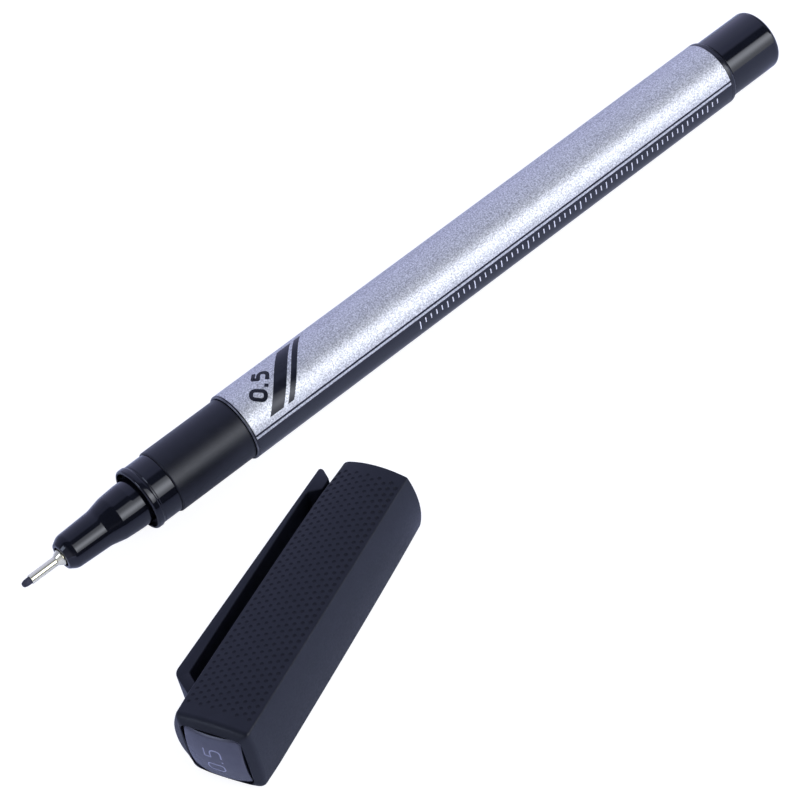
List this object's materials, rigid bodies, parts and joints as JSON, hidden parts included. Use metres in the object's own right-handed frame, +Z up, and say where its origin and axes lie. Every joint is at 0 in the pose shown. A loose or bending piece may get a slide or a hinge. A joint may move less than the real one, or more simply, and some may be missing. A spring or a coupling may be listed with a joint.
{
  "type": "technical pen",
  "caption": "Fine-line technical pen with a round barrel, stepped grip and needle point, lying beside its square cap with a spring clip.",
  "frame": {"origin": "on the table, under the middle of the box round the pen and its cap", "axes": "+X along the pen from its point to its tail, +Z up from the table, +Y from the cap's side towards the pen"},
  "size_m": [0.1365, 0.051, 0.0109],
  "materials": {
    "gloss_black": "polished black plastic",
    "satin_black": "satin black plastic",
    "silver_film": "metallic silver film with printed stripes",
    "needle_steel": "bright drawn steel",
    "inked_fibre": "ink-soaked fibre",
    "store_film": "clear film",
    "white_plastic": "natural white plastic",
    "grey_plate": "dark grey plastic"
  },
  "bodies": {
    "pen": {"barrel": "satin_black", "label_film": "silver_film", "front_section": "gloss_black", "grip_sleeve": "satin_black", "nose_cone": "gloss_black", "ferrule": "needle_steel", "nib_holder": "white_plastic", "fibre_nib": "inked_fibre", "ink_reservoir": "inked_fibre", "reservoir_wrap": "store_film", "tail_plug": "gloss_black"},
    "cap": {"cap_shell": "satin_black", "cap_liner": "white_plastic", "cap_end_plate": "grey_plate"},
    "clip": {"cap_clip": "satin_black"}
  },
  "joints": [
    {"name": "cap_slide", "type": "slide", "parent": "pen", "child": "cap", "axis": [-0.9272, -0.3746, 0], "range_m": [0, 0.07]},
    {"name": "clip_flex", "type": "hinge", "parent": "cap", "child": "clip", "pos_m": [-0.06432, -0.01358, 0.00545], "axis": [0, 0, 1], "range_deg": [0, 4], "stiffness_Nm_per_rad": 3}
  ]
}
